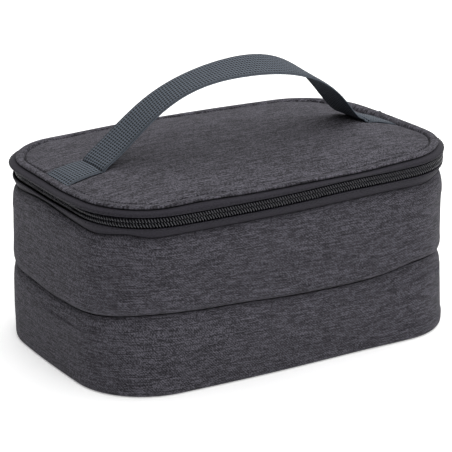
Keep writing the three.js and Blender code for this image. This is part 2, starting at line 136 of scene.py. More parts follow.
# Linings and bindings
MOUTH_HEIGHT = 95.5
LINING_LOW = 9.0
LINING_HIGH = 94.5
LINING_FACE = -8.7
LINING_BACK = -7.6

# Webbing handle
WEBBING_WIDTH = 25.0
WEBBING_THICK = 1.7
STRAP_END = 111.6
STRAP_PRESS = 0.9
STRAP_STITCHES = (88.2, 87.4)
STRAP_FEET = (86.6, 85.6)
STRAP_FOOT_HEIGHT = 114.6
STRAP_RISE = 44.7
STRAP_PULLS = (1.8, 2.8)
STRAP_PULL_WIDTH = 19.0
STRAP_REACH = 12.5
STRAP_APEX = 0.7
STRAP_TWISTS = (17, -66, 114, -48)
STRAP_STEPS = 521
FOLD_DEPTH = 1.8
FOLD_WIDTH = 0.8

# Handles of the arch's two curves, as shares of the way to the foot and of the rise
LEFT_FOOT_HANDLE = (0.655, 0.428)
LEFT_TOP_HANDLE = 0.588
RIGHT_TOP_HANDLE = 0.735
RIGHT_FOOT_HANDLE = (0.894, -0.1)

# Zip slider on the right end, at a distance round the wall line
SLIDER_AT = 549.2
SLIDER_LENGTH = 11.0
SLIDER_HIGH = 3.1
SLIDER_FACE = 3.0
SLIDER_SAG = 0.4
BAIL_LENGTH = 7.4
BAIL_WIRE = 0.5
PULL_AXIS = 5.65
PULL_LENGTH = 19.0
PULL_WIDTH = 7.0
PULL_THICK = 1.4
PULL_HOLE = 1.7
LOOP_RADIUS = 1.1
LOOP_WIRE = 0.4
PLATE_THICK = 1.2
FLANGE_OFFSET = 1.75
FLANGE_REACH = 1.1
FLANGE_THICK = 0.64

# Columns round the bag
ROUND_STEPS = 420
ZIP_STEPS = 288
HINGE_STEPS = 80

# Sheen of the cloths
SHEEN = {"Sheen_Weight": 0.05, "Sheen_Roughness": 0.5}
WEBBING_SHEEN = {"Sheen_Weight": 0.05, "Sheen_Roughness": 0.4}

# Studio in metres. A lamp has a place, a diameter and a power.
LAMPS = {
    "key": ((-0.1, -1.4, 1.4), 1.2, 9.4),
    "top": ((0.5, 0.25, 1.7), 4.5, 86),
    "right_fill": ((1.4, -0.7, 0.9), 1.0, 0.8),
}
LAMP_AIM = (0, 0, 0.06)
SKY_STRENGTH = 0.12
FLOOR_GLOW = 0.27
FLOOR_HALF = 6.0

# Camera fitted to the photo: its place in metres, its axes and its lens in millimetres
CAMERA_PLACE = (-0.71858, -1.16216, 0.55602)
CAMERA_RIGHT = (0.85113, -0.52497, 0)
CAMERA_UP = (0.17911, 0.29039, 0.94)
CAMERA_BACK = (-0.49347, -0.80006, 0.34118)
CAMERA_LENS = 199.5
CAMERA_SENSOR = 36
CAMERA_NEAR = 0.05


# Plan outline
def plan_arcs():
    end_centre = HALF_LENGTH - END_BOW
    side_centre = HALF_DEPTH - SIDE_BOW
    from_end = END_BOW - CORNER
    from_side = SIDE_BOW - CORNER
    apart = math.hypot(end_centre, side_centre)
    along = (from_end**2 - from_side**2 + apart**2) / (2 * apart)
    across = math.sqrt(from_end**2 - along**2)
    unit_x, unit_y = -end_centre / apart, side_centre / apart
    x = end_centre + unit_x * along - unit_y * across
    y = unit_y * along + unit_x * across
    end_turn = math.atan2(y, x - end_centre)
    side_turn = math.atan2(y - side_centre, x)
    half = math.pi
    return np.array([
        (0, side_centre, SIDE_BOW, half / 2, half - side_turn),
        (-x, y, CORNER, half - side_turn, half - end_turn),
        (-end_centre, 0, END_BOW, half - end_turn, half + end_turn),
        (-x, -y, CORNER, half + end_turn, half + side_turn),
        (0, -side_centre, SIDE_BOW, half + side_turn, 2 * half - side_turn),
        (x, -y, CORNER, 2 * half - side_turn, 2 * half - end_turn),
        (end_centre, 0, END_BOW, 2 * half - end_turn, 2 * half + end_turn),
        (x, y, CORNER, 2 * half + end_turn, 2 * half + side_turn),
        (0, side_centre, SIDE_BOW, 2 * half + side_turn, 2.5 * half),
    ])


ARCS = plan_arcs()
ARC_STARTS = np.concatenate([[0], np.cumsum(ARCS[:, 2] * (ARCS[:, 4] - ARCS[:, 3]))])
PERIMETER = ARC_STARTS[-1]
ZIP_START, ZIP_END = ARC_STARTS[1], ARC_STARTS[8]

# Distances round the wall line from the middle of the back, which functions take as s
ALL_ROUND = np.linspace(0, PERIMETER, ROUND_STEPS, endpoint=False)
ZIP_RUN = np.linspace(ZIP_START, ZIP_END, ZIP_STEPS)
HINGE_RUN = np.linspace(ZIP_END, PERIMETER + ZIP_START, HINGE_STEPS)


def plan(distance):
    """Points of the wall line and the directions out of the bag there."""
    distance = np.mod(distance, PERIMETER)
    index = np.clip(np.searchsorted(ARC_STARTS, distance, side="right") - 1, 0, len(ARCS) - 1)
    arc = ARCS[index]
    turn = arc[..., 3] + (distance - ARC_STARTS[index]) / arc[..., 2]
    out = np.stack([np.cos(turn), np.sin(turn)], -1)
    return arc[..., :2] + arc[..., 2:3] * out, out


def wander(distance, waves):
    """The sum of smooth waves at distances round the wall line."""
    total = 0
    for height, place, width in waves:
        away = np.mod(distance - place + PERIMETER / 2, PERIMETER) - PERIMETER / 2
        total = total + height * np.exp(-((away / width) ** 2))
    return total


def fade(value, start, end):
    """0 at start and before it, 1 at end and past it, with a smooth run between them."""
    share = np.clip((value - start) / (end - start), 0, 1)
    return share * share * (3 - 2 * share)


def ripple(points, size, seed):
    """Smooth noise from about -1 to 1. size is its wavelength in millimetres along X, Y and Z."""
    flat = (points / np.array(size)).reshape(-1, 3) + seed
    return np.array([noise.noise(point) for point in flat]).reshape(points.shape[:-1])


# How the seams wander
def waist_height(s):
    return WAIST + wander(s, WAIST_WAVES)


def seam_gap(s):
    """How wide the waist seam gapes: widest at the two front corners."""
    return 1 + wander(s, GAPE_WAVES)


def back_dip(s):
    """How much lower the zip and its seams lie along the back."""
    place = plan(s)[0]
    x, y = place[..., 0], place[..., 1]
    return (BACK_DIP + RIGHT_DROP * fade(x, *RIGHT_SLOPE)) * fade(y, *ZIP_BACK_SLOPE)


def seam_height(s):
    return WALL_TOP + wander(s, SEAM_WAVES) - back_dip(s)


def lid_drop(place):
    """How much lower the lid lies towards the back, most of all at the right."""
    x, y = place[..., 0], place[..., 1]
    back = (LID_DROP - LEFT_LIFT * fade(-x, *LEFT_SLOPE)) * fade(y, *LID_BACK_SLOPE)
    return back + RIGHT_DROP * fade(x, *RIGHT_SLOPE) * fade(y, *RIGHT_BACK_SLOPE)


def rim_height(s):
    return RIM + wander(s, RIM_WAVES) - lid_drop(plan(s)[0])


# Mesh helpers
def new_mesh(name, points, faces, face_uvs, material):
    mesh = bpy.data.meshes.new(name)
    mesh.from_pydata((np.asarray(points) * MM).tolist(), [], faces)
    layer = mesh.uv_layers.new(name="UVMap")
    layer.data.foreach_set("uv", (np.asarray(face_uvs, float) * MM).ravel())
    mesh.polygons.foreach_set("use_smooth", [True] * len(faces))
    mesh.materials.append(material)
    mesh.update()
    piece = bpy.data.objects.new(name, mesh)
    bpy.context.scene.collection.objects.link(piece)
    return piece


def swept(name, points, closed, along, material):
    """A closed solid from anticlockwise sections. points is (section points, columns, 3)."""
    rows, columns = points.shape[:2]
    step = np.linalg.norm(np.diff(points, axis=0, append=points[:1]), axis=2).mean(axis=1)
    around = np.concatenate([[0], np.cumsum(step)])
    flat = points.transpose(1, 0, 2).reshape(-1, 3)
    faces, uvs = [], []
    for column in range(columns if closed else columns - 1):
        here, there = column * rows, (column + 1) % columns * rows
        left, right = along[column], along[column + 1]
        for row in range(rows):
            after = (row + 1) % rows
            low, high = around[row], around[row + 1]
            faces.append((here + row, there + row, there + after, here + after))
            uvs += [(left, low), (right, low), (right, high), (left, high)]
    if not closed:
        last = (columns - 1) * rows
        faces.append(tuple(range(rows)))
        faces.append(tuple(last + row for row in reversed(range(rows))))
        uvs += [(along[0], low) for low in around[:-1]]
        uvs += [(along[-1], low) for low in reversed(around[:-1])]
    return new_mesh(name, flat, faces, uvs, material)


def section(rows, count):
    """Offsets and heights of a section's points, each a number or one value per column."""
    offset = np.array([np.broadcast_to(row[0], count) for row in rows], float)
    height = np.array([np.broadcast_to(row[1], count) for row in rows], float)
    return offset, height


def round_bag(s, offset, height):
    base, out = plan(s)
    xy = base[None] + offset[..., None] * out[None]
    return np.concatenate([xy, height[..., None]], -1)


def band(name, s, rows, material, closed, swell=None):
    """A solid that runs round the bag. swell moves its points outwards, by a function of the points."""
    offset, height = section(rows, len(s))
    points = round_bag(s, offset, height)
    if swell is not None:
        points = round_bag(s, offset + swell(points), height)
    along = np.append(s, s[0] + PERIMETER) if closed else s
    return swept(name, points, closed, along, material)


def disc(name, rows, top, under, material):
    """A closed solid over the plan. rows run from the top's middle, over the edge, to the middle below."""
    count = rows.shape[1]
    points = np.concatenate([[top], rows.reshape(-1, 3), [under]])
    last = len(points) - 1
    faces = []
    for column in range(count):
        after = (column + 1) % count
        faces.append((0, 1 + column, 1 + after))
        for row in range(rows.shape[0] - 1):
            here, below = 1 + row * count, 1 + (row + 1) * count
            faces.append((here + column, below + column, below + after, here + after))
        low = 1 + (rows.shape[0] - 1) * count
        faces.append((last, low + after, low + column))
    uvs = [points[corner][:2] for face in faces for corner in face]
    return new_mesh(name, points, faces, uvs, material)


def tubes(name, paths, radius, sides, material):
    """Many short rods with round ends in one mesh. paths is (rods, points, 3)."""
    count, steps = paths.shape[:2]
    tangent = np.gradient(paths, axis=1)
    tangent /= np.linalg.norm(tangent, axis=2, keepdims=True)
    helper = np.where(np.abs(tangent[..., 2:3]) > 0.8, [[[1.0, 0, 0]]], [[[0, 0, 1.0]]])
    side = np.cross(tangent, helper)
    side /= np.linalg.norm(side, axis=2, keepdims=True)
    other = np.cross(tangent, side)
    turn = np.linspace(0, 2 * np.pi, sides, endpoint=False)
    thin = np.ones(steps)
    thin[[0, -1]] = 0.45
    ring = np.cos(turn)[:, None] * side[:, :, None] + np.sin(turn)[:, None] * other[:, :, None]
    points = paths[:, :, None] + radius * thin[None, :, None, None] * ring
    flat = points.reshape(-1, 3)
    faces = []
    for rod in range(count):
        base = rod * steps * sides
        for step in range(steps - 1):
            here, there = base + step * sides, base + (step + 1) * sides
            for corner in range(sides):
                after = (corner + 1) % sides
                faces.append((here + corner, here + after, there + after, there + corner))
        last = base + (steps - 1) * sides
        faces.append(tuple(base + corner for corner in reversed(range(sides))))
        faces.append(tuple(last + corner for corner in range(sides)))
    uvs = [flat[corner][:2] for face in faces for corner in face]
    return new_mesh(name, flat, faces, uvs, material)


def stitches(name, starts, ends, out, radius, material):
    """Threads from starts to ends that stand up a little along out."""
    share = np.array([0, 0.2, 0.5, 0.8, 1.0])
    arch = np.array([-0.6, 0.4, 0.7, 0.4, -0.6]) * radius
    paths = starts[:, None] + (ends - starts)[:, None] * share[None, :, None]
    return tubes(name, paths + out[:, None] * arch[None, :, None], radius, 6, material)


# Material helpers
class Surface:
    """A material with a few shorthands for its nodes."""

    def __init__(self, name, **settings):
        self.material = bpy.data.materials.new(name)
        self.material.use_nodes = True
        self.tree = self.material.node_tree
        self.shader = self.tree.nodes["Principled BSDF"]
        for socket, value in settings.items():
            self.shader.inputs[socket.replace("_", " ")].default_value = value

    def node(self, kind, **links):
        """A new node with its inputs set or joined. An input goes by its name, or by i and its number."""
        made = self.tree.nodes.new("ShaderNode" + kind)
        for name, value in links.items():
            numbered = name[0] == "i" and name[1:].isdigit()
            self.join(value, made.inputs[int(name[1:]) if numbered else name])
        return made

    def join(self, value, socket):
        if isinstance(value, bpy.types.NodeSocket):
            self.tree.links.new(value, socket)
        else:
            socket.default_value = value

    def math(self, operation, a, b=0.0):
        made = self.node("Math", i0=a, i1=b)
        made.operation = operation
        return made.outputs[0]

    def millimetres(self, source="UV"):
        coordinates = self.node("TexCoord")
        scaled = self.node("Mapping", Vector=coordinates.outputs[source], Scale=(1 / MM, 1 / MM, 1 / MM))
        return scaled.outputs[0]

    def axes(self, vector):
        return self.node("SeparateXYZ", Vector=vector).outputs

    def noise(self, vector, scale, detail=3.0, roughness=0.55):
        scaled = self.node("Mapping", Vector=vector, Scale=scale)
        settings = {"Scale": 1.0, "Detail": detail, "Roughness": roughness}
        return self.node("TexNoise", Vector=scaled.outputs[0], **settings).outputs["Fac"]

    def chance(self, **cell):
        """A random value from 0 to 1 for each cell."""
        place = self.node("CombineXYZ", **cell).outputs[0]
        return self.node("TexWhiteNoise", Vector=place).outputs["Value"]

    def floats(self, u, v, length, thickness):
        """A random tone for each float of the yarns, with every row of them shifted along."""
        row = self.math("FLOOR", self.math("DIVIDE", v, thickness))
        along = self.math("ADD", self.math("DIVIDE", u, length), self.chance(X=row))
        return self.chance(X=self.math("FLOOR", along), Y=row)

    def wave(self, value, period):
        return self.math("SINE", self.math("MULTIPLY", value, 2 * math.pi / period))

    def spread(self, value, low, high):
        """The value with low to high spread over 0 to 1."""
        return self.node("MapRange", Value=value, **{"From Min": low, "From Max": high}).outputs[0]

    def between(self, value, low, high):
        """The value with 0 to 1 brought between low and high."""
        return self.node("MapRange", Value=value, **{"To Min": low, "To Max": high}).outputs[0]

    def mixed(self, *parts):
        """The sum of values, each times its weight."""
        (first, weight), *others = parts
        total = self.math("MULTIPLY", first, weight)
        for value, weight in others:
            total = self.math("ADD", total, self.math("MULTIPLY", value, weight))
        return total

    def ramp(self, value, *stops):
        made = self.node("ValToRGB", Fac=value)
        while len(made.color_ramp.elements) < len(stops):
            made.color_ramp.elements.new(0.5)
        for element, (place, colour) in zip(made.color_ramp.elements, stops):
            element.position = place
            element.color = (*colour, 1)
        return made.outputs[0]

    def finish(self, colour, height, depth, roughness=None):
        self.join(colour, self.shader.inputs["Base Color"])
        relief = self.node("Bump", Height=height, Distance=depth * MM, Strength=1.0)
        self.join(relief.outputs[0], self.shader.inputs["Normal"])
        if roughness is not None:
            self.join(roughness, self.shader.inputs["Roughness"])
        return self.material


def melange_cloth(name, yarn, contrast):
    """Heathered cloth: each float of a yarn has its own tone, and slubs run along the yarns."""
    cloth = Surface(name, Roughness=0.88, Specular_IOR_Level=0.12, **SHEEN)
    place = cloth.millimetres()
    u, v, _ = cloth.axes(place)
    grain = cloth.floats(u, v, 1.35 * yarn, 1.3 * yarn)
    streak = cloth.floats(u, v, 14 * yarn, 1.3 * yarn)
    slub = cloth.spread(cloth.noise(place, (0.07, 0.6 / yarn, 1), 2, 0.6), 0.32, 0.54)
    twill = cloth.wave(cloth.math("ADD", u, v), 1.6)
    tone = cloth.mixed((grain, 0.52), (streak, 0.3), (slub, 0.22), (twill, 0.09))
    middle = np.array([0.042, 0.040, 0.048])
    dark, light = middle * (1 - 0.65 * contrast), middle * (1 + 1.5 * contrast)
    colour = cloth.ramp(tone, (0.14, dark), (0.54, middle), (0.92, light))
    height = cloth.math("ADD", cloth.math("MULTIPLY", twill, 0.3), streak)
    return cloth.finish(colour, height, 0.12)


def plain_cloth():
    cloth = Surface("plain_cloth", Roughness=0.8, Specular_IOR_Level=0.2, **SHEEN)
    place = cloth.millimetres()
    u, v, _ = cloth.axes(place)
    weave = cloth.math("MULTIPLY", cloth.wave(u, 0.9), cloth.wave(v, 0.9))
    grain = cloth.noise(place, (0.9, 1.2, 1), 2)
    tone = cloth.math("ADD", cloth.math("MULTIPLY", weave, 0.12), grain)
    colour = cloth.ramp(tone, (0.25, (0.009, 0.008, 0.012)), (0.75, (0.031, 0.028, 0.038)))
    return cloth.finish(colour, tone, 0.1)


def webbing_cloth():
    cloth = Surface("webbing", Roughness=0.75, Specular_IOR_Level=0.2, **WEBBING_SHEEN)
    place = cloth.millimetres()
    u, v, _ = cloth.axes(place)
    picks = cloth.spread(cloth.wave(u, 1.8), -1, 1)
    ends = cloth.spread(cloth.wave(v, 2.3), -1, 1)
    gaps = cloth.math("MULTIPLY", cloth.math("MULTIPLY", picks, ends), 1.5)
    basket = cloth.math("SUBTRACT", 1.02, gaps)
    rib = cloth.math("ABSOLUTE", cloth.wave(v, 1.5))
    edge = cloth.spread(cloth.math("ABSOLUTE", v), 10.6, 11.2)
    weave = cloth.node("Mix", Factor=edge, i2=basket, i3=rib).outputs[0]
    grain = cloth.spread(cloth.noise(place, (1.2, 1.2, 1), 2), 0.3, 0.7)
    tone = cloth.mixed((weave, 0.7), (grain, 0.3))
    dark = (0.001, 0.001, 0.002)
    middle = (0.031, 0.037, 0.047)
    light = (0.101, 0.120, 0.148)
    colour = cloth.ramp(tone, (0.3, dark), (0.52, middle), (0.88, light))
    return cloth.finish(colour, weave, 0.4)


def tape_cloth(name, dark, light, period, shine):
    cloth = Surface(name, Roughness=0.8, Specular_IOR_Level=shine)
    place = cloth.millimetres()
    u, _, _ = cloth.axes(place)
    rib = cloth.wave(u, period)
    grain = cloth.noise(place, (1.5, 1.5, 1), 2)
    tone = cloth.math("ADD", cloth.math("MULTIPLY", rib, 0.25), grain)
    colour = cloth.ramp(tone, (0.2, dark), (0.85, light))
    return cloth.finish(colour, tone, 0.12)


def nylon_coil():
    nylon = Surface("nylon", Specular_IOR_Level=0.7, Coat_Weight=0.15, Coat_Roughness=0.25)
    place = nylon.millimetres("Object")
    grain = nylon.noise(place, (0.9, 0.9, 0.9), 3)
    colour = nylon.ramp(grain, (0.3, (0.018, 0.018, 0.022)), (0.7, (0.048, 0.048, 0.057)))
    roughness = nylon.between(grain, 0.18, 0.3)
    return nylon.finish(colour, grain, 0.03, roughness)


def thread_fibre():
    thread = Surface("thread", Roughness=0.7, Specular_IOR_Level=0.3)
    place = thread.millimetres("Object")
    grain = thread.noise(place, (2.2, 2.2, 2.2), 2)
    colour = thread.ramp(grain, (0.3, (0.008, 0.008, 0.010)), (0.7, (0.024, 0.024, 0.028)))
    return thread.finish(colour, grain, 0.08)


def foil_film():
    foil = Surface("foil_lining", Metallic=0.85)
    place = foil.millimetres("Object")
    crease = foil.noise(place, (0.09, 0.09, 0.09), 5, 0.6)
    grain = foil.noise(place, (0.9, 0.9, 0.9), 2)
    colour = foil.ramp(crease, (0.3, (0.55, 0.56, 0.58)), (0.7, (0.74, 0.75, 0.77)))
    roughness = foil.between(grain, 0.22, 0.45)
    return foil.finish(colour, crease, 0.9, roughness)


def dark_metal():
    metal = Surface("dark_metal", Metallic=0.7, Coat_Weight=0.3, Coat_Roughness=0.2)
    place = metal.millimetres("Object")
    wear = metal.noise(place, (0.5, 0.5, 0.5), 4)
    colour = metal.ramp(wear, (0.3, (0.018, 0.018, 0.02)), (0.75, (0.05, 0.05, 0.053)))
    roughness = metal.between(wear, 0.25, 0.5)
    return metal.finish(colour, wear, 0.02, roughness)


def pale_floor():
    glow = {"Emission_Color": (1, 1, 1, 1), "Emission_Strength": FLOOR_GLOW}
    floor = Surface("pale_floor", Roughness=0.9, **glow)
    place = floor.millimetres("Object")
    grain = floor.noise(place, (0.01, 0.01, 0.01), 2)
    colour = floor.ramp(grain, (0.3, (0.93, 0.93, 0.93)), (0.7, (0.97, 0.97, 0.97)))
    return floor.finish(colour, grain, 0.01)


melange = melange_cloth("melange_cloth", 0.38, 1.15)
lid_melange = melange_cloth("lid_melange_cloth", 0.5, 1.3)
plain = plain_cloth()
webbing = webbing_cloth()
# The zip tape's near-black colour is partly its own black and partly painted shade: it is made darker than
# the tape's own black so the gaps between the coil elements read as shaded.
zip_tape = tape_cloth("zip_tape", (0.002, 0.002, 0.003), (0.008, 0.008, 0.010), 0.7, 0.02)
binding = tape_cloth("binding_tape", (0.014, 0.014, 0.017), (0.042, 0.042, 0.048), 0.9, 0.2)
nylon = nylon_coil()
thread = thread_fibre()
foil = foil_film()
metal = dark_metal()


def on_body(piece, body, slot, *nodes):
    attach(piece, body)
    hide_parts(*nodes)
    return piece


# Walls
def add_walls():
    s = ALL_ROUND
    low, high = waist_height(s), seam_height(s)
    left_swell = wander(s, LEFT_SWELL_WAVES)

    def puff(points):
        height = points[..., 2]
        middle = fade(height, low + 2, low + 10) * fade(height, high - 1, high - 11)
        slack = 0.7 * ripple(points, (70, 70, 45), 3.1) + 0.22 * ripple(points, (22, 22, 14), 8.4)
        return middle * slack

    tucked = [(-2.6, 0.1), (-1.9, 0.15), (-1.15, 0.6), (-0.5, 1.4), (0.05, 2.6), (0.45, 4.2)]
    rows = [(offset, low + above) for offset, above in tucked]
    for share in np.linspace(0.13, 0.69, 15):
        hollow = 0.8 - 0.5 * math.sin(math.pi * share)
        rows.append((hollow + left_swell * share**2, low + share * (high - low)))
    top = [(0.6, 12.0), (0.45, 9.4), (0.2, 7.0), (-0.15, 4.9), (-0.6, 3.3)]
    top += [(-1.2, 2.1), (-1.9, 1.2), (-2.5, 0.65), (-2.9, 0.4)]
    rows += [(offset + left_swell, high - below) for offset, below in top]
    rows += [(WALL_INSIDE, high - 1.2), (WALL_INSIDE, low + 1)]
    upper = band("upper_wall", s, rows, melange, True, puff)
    on_body(upper, "body", "melange_cloth", "upper_wall_panel", "wall_foam")

    def lower_puff(points):
        height = points[..., 2]
        middle = fade(height, 4, 12) * fade(height, low - 2, low - 10)
        slack = 0.5 * ripple(points, (80, 80, 40), 12.7) + 0.18 * ripple(points, (24, 24, 12), 5.2)
        return middle * slack

    square = wander(s, FOOT_WAVES)
    rows = [(BOTTOM_SEAM, 0.1)]
    foot = [(-2.4, 0.1), (-0.8, 0.2), (0.0, 0.6), (0.4, 1.3), (0.55, 2.4), (0.6, 4.0), (0.6, 6.0)]
    rows += [(offset + square, height) for offset, height in foot]
    for share in np.linspace(0.18, 0.78, 14):
        belly = 0.4 + 0.5 * math.sin(math.pi * share)
        rows.append((belly + square * (1 - share) ** 2, share * low))
    top = [(0.6, 8.6), (0.45, 6.4), (0.1, 4.8), (-0.45, 3.4)]
    top += [(-1.1, 2.2), (-1.8, 1.2), (-2.4, 0.6), (-2.8, 0.4)]
    rows += [(offset, low - below * seam_gap(s)) for offset, below in top]
    rows += [(WALL_INSIDE, low - 2.0), (WALL_INSIDE, 2.2), (BOTTOM_SEAM, 1.4)]
    lower = band("lower_wall", s, rows, melange, True, lower_puff)
    on_body(lower, "body", "melange_cloth", "lower_wall_panel")


def plan_rows(s, offsets, shares, heights):
    """Rows over the plan: each is the outline at an offset, shrunk to a share of its size, at a height."""
    base, out = plan(s)
    rows = []
    for offset, share, height in zip(offsets, shares, heights):
        xy = (base + np.broadcast_to(offset, len(s))[:, None] * out) * share
        z = np.broadcast_to(height, len(s))
        rows.append(np.column_stack([xy, z]))
    return np.array(rows)


def add_base():
    s = ALL_ROUND
    edge = [(-7.6, BOTTOM_THICK), (-6.2, 1.0), (-5.4, 0.6), (-6.0, 0.1), (-8.0, 0.0), (-8.0, 0.0)]
    offsets, heights = zip(*edge)
    rows = plan_rows(s, offsets, (1, 1, 1, 1, 1, 0.5), heights)
    bottom = disc("bottom_panel_cloth", rows, (0, 0, BOTTOM_THICK), (0, 0, 0), melange)
    on_body(bottom, "body", "melange_cloth", "bottom_panel", "base_board")


# Zip
def zip_teeth(name, coil, shift):
    """Slanted coil elements from an edge of the chain to their heads in its middle."""
    edge, head = coil
    count = int((ZIP_END - ZIP_START) / COIL_PITCH)
    start = ZIP_START + COIL_PITCH * (np.arange(count) + 0.3 + shift)
    shares = np.array([0, 0.14, 0.5, 0.84, 1.0])
    lift = np.array([-0.1, 0.6, 1.0, 0.62, 0.05]) * COIL_LIFT
    heights = edge + (head - edge) * shares
    s = start[:, None] - COIL_LEAN * (heights - ZIP_CENTRE)[None]
    base, out = plan(s)
    xy = base + out * (lift * (1 - 0.3 * zip_tuck(s)) - zip_depth(s))[..., None]
    z = heights[None] - zip_dip(s)
    return tubes(name, np.concatenate([xy, z[..., None]], 2), COIL_WIRE, 6, nylon)


def zip_ends(s):
    """Where the zip runs round the right end and round the left end of the bag, from 0 to 1."""
    right = fade(s, *RIGHT_TURN) * fade(s, ZIP_END, ZIP_END - 40)
    left = fade(s, ZIP_START, ZIP_START + 30) * fade(s, *LEFT_TURN)
    return right, left


def zip_tuck(s):
    """How far the cloth round the zip is tucked in: round the right end, and more so round the left."""
    right, left = zip_ends(s)
    return ZIP_TUCKS[0] * right + ZIP_TUCKS[1] * left


def zip_depth(s):
    """How far the chain and its tapes are set back under the cloth over them."""
    right, left = zip_ends(s)
    return ZIP_DEPTHS[0] * right + ZIP_DEPTHS[1] * left


def zip_dip(s):
    """How much lower the zip lies along the back, less its rise to the right of the front's middle."""
    return back_dip(s) - wander(s, ZIP_WAVES)


def zip_stitches(name, place, body):
    """A row of stitches along the zip. place gives the cloth's offset and height at a distance."""
    pitch = ZIP_STITCH_PITCH
    start = np.arange(ZIP_START + pitch, ZIP_END - 2 * pitch, pitch)
    ends = []
    for s in (start, start + ZIP_STITCH_LENGTH):
        offset, height = place(s)
        base, out = plan(s)
        ends.append(np.column_stack([base + out * offset[:, None], height]))
    row = stitches(name, *ends, np.column_stack([out, 0 * start]), ZIP_THREAD, thread)
    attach(row, body)


def lower_strip_top(s):
    return STRIP_TOP - zip_dip(s) + 0.4 * zip_tuck(s)


def lower_strip_at(s, share):
    """Offset and height of the cloth strip under the zip, at a share of the way up."""
    seam = seam_height(s)
    offset = -2.9 + 4.15 * share**0.7 - zip_tuck(s) * share
    return offset, seam + (lower_strip_top(s) - seam) * share


def upper_strip_low(s):
    right, left = zip_ends(s)
    return STRIP_LOW - zip_dip(s) - 0.4 * right + 0.1 * left


def upper_strip_at(s, share):
    """Offset and height of the cloth strip over the zip, at a share of the way up."""
    low, high = upper_strip_low(s), rim_height(s) - 1.0
    curve = 2.6 - 0.9 * fade(s, *STRIP_TURN)
    offset = 1.3 - 3.75 * share**curve + roll_shift(s) * share**2 + 0.45 * zip_tuck(s) * (1 - share)
    return offset, low + (high - low) * (1 - (1 - share) ** 1.25)


def add_zip():
    s = ZIP_RUN
    seam, rim = seam_height(s), rim_height(s)
    tuck, depth = zip_tuck(s), zip_depth(s)
    fold = lower_strip_top(s)
    rows = [(WALL_INSIDE, seam - 1.2)]
    rows += [lower_strip_at(s, share) for share in (0.0, 0.06, 0.2, 0.4, 0.6, 0.8, 0.95)]
    hem = [(1.25, 0.1), (1.0, 0.3), (0.55, 0.3), (0.2, 0.1), (0.1, -0.4)]
    rows += [(offset - tuck, fold + height) for offset, height in hem]
    rows.append((-3.6, seam - 1.2))
    lower = band("lower_strip", s, rows, plain, False)
    on_body(lower, "body", "plain_cloth", "lower_zip_strip")

    middle = ZIP_CENTRE - zip_dip(s)
    lower_tape = [(-0.45, -4.9), (-0.4, -2.3), (-0.4, -0.1), (-1.0, -0.1), (-1.05, -4.9)]
    upper_tape = [(-0.4, 0.1), (-0.4, 2.7), (-0.45, 4.2), (-1.05, 4.2), (-1.0, 0.1)]
    for side, body, tape_section in (("lower", "body", lower_tape), ("upper", "lid", upper_tape)):
        rows = [(offset - depth, middle + height) for offset, height in tape_section]
        tape = band(f"{side}_tape", s, rows, zip_tape, False)
        on_body(tape, body, "zip_tape", f"{side}_zip_tape")

    teeth = zip_teeth("lower_teeth", LOWER_COIL, 0.0)
    on_body(teeth, "body", "nylon", "lower_zip_teeth")
    teeth = zip_teeth("upper_teeth", UPPER_COIL, 0.5)
    on_body(teeth, "lid", "nylon", "upper_zip_teeth")

    low = upper_strip_low(s)
    hem = [(0.4, 0.6), (0.45, 0.1), (0.6, -0.2), (0.85, -0.2), (1.1, 0.15)]
    rows = [(offset + 0.45 * tuck, low + height) for offset, height in hem]
    rows += [upper_strip_at(s, share) for share in (0.25, 0.42, 0.6, 0.76, 0.9, 1.0)]
    rows += [(-3.2, rim - 1.1), (-3.2, rim - 1.7), (-0.4, (low + rim) / 2 - 0.4)]
    upper = band("upper_strip", s, rows, plain, False)
    on_body(upper, "lid", "plain_cloth", "upper_zip_strip")

    zip_stitches("lower_strip_stitches", lambda s: lower_strip_at(s, 0.85), "body")
    zip_stitches("upper_strip_stitches", lambda s: upper_strip_at(s, 0.27), "lid")


def add_hinge():
    s = HINGE_RUN
    seam, rim = seam_height(s), rim_height(s)
    outer = [(-2.6, seam - 1.2), (-1.5, seam), (-0.3, seam + 1.0), (0.5, seam + 2.2)]
    for share in np.linspace(0.3, 0.8, 10):
        outer.append((0.75 + 0.3 * math.sin(math.pi * share), seam + share * (rim - seam)))
    outer += [(0.3, rim - 1.9), (-0.4, rim - 1.0), (-1.3, rim - 0.4), (-2.2, rim), (-3.0, rim)]
    inner = [(offset - 0.9, height) for offset, height in reversed(outer[1:-1])]
    rows = outer + [(-3.3, rim - 0.8)] + inner + [(-3.4, seam - 1.2)]
    hinge = band("back_hinge", s, rows, plain, False)
    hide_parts("back_hinge_strip")
    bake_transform(hinge)


# Lid
def groove_share(s):
    """How deep the groove inside the lid's rolled edge is. It fades along the front and the left back."""
    return np.clip(1 - wander(s, GROOVE_WAVES), 0.1, 1)


def edge_sink(s):
    """How much lower the lid's panel meets its rolled edge, at the right end and the left back."""
    return wander(s, SINK_WAVES)


def roll_shift(s):
    """How much further out the rolled edge reaches: at the right end and along the back."""
    return ROLL_REACH * fade(s, *ROLL_TURN) * fade(s, PERIMETER, PERIMETER - 60)


def lid_profile(s, offset):
    """Height above the rim of the lid's cloth near its edge."""
    roll = ROLL_TOP - 0.04 * np.maximum(0, -3.8 - offset) - wander(s, ROLL_WAVES)
    roll = roll - edge_sink(s) * fade(offset, -5.0, -7.6)
    return roll - GROOVE_DEPTH * groove_share(s) * np.exp(-(((offset - GROOVE_AT) / GROOVE_WIDTH) ** 2))


def lid_surface(share):
    return PANEL_EDGE + LID_CROWN * (1 - share**CROWN_POWER)


def strap_press(points):
    """How far the sewn ends of the webbing press the lid down at points of its surface."""
    x, y = np.abs(points[..., 0]), np.abs(points[..., 1])
    stitch = np.where(points[..., 0] < 0, *STRAP_STITCHES)
    along = fade(x, stitch - 2, stitch + 1) * fade(x, STRAP_END + 2, STRAP_END)
    half = WEBBING_WIDTH / 2
    return STRAP_PRESS * along * fade(y, half + 1.5, half - 0.5)


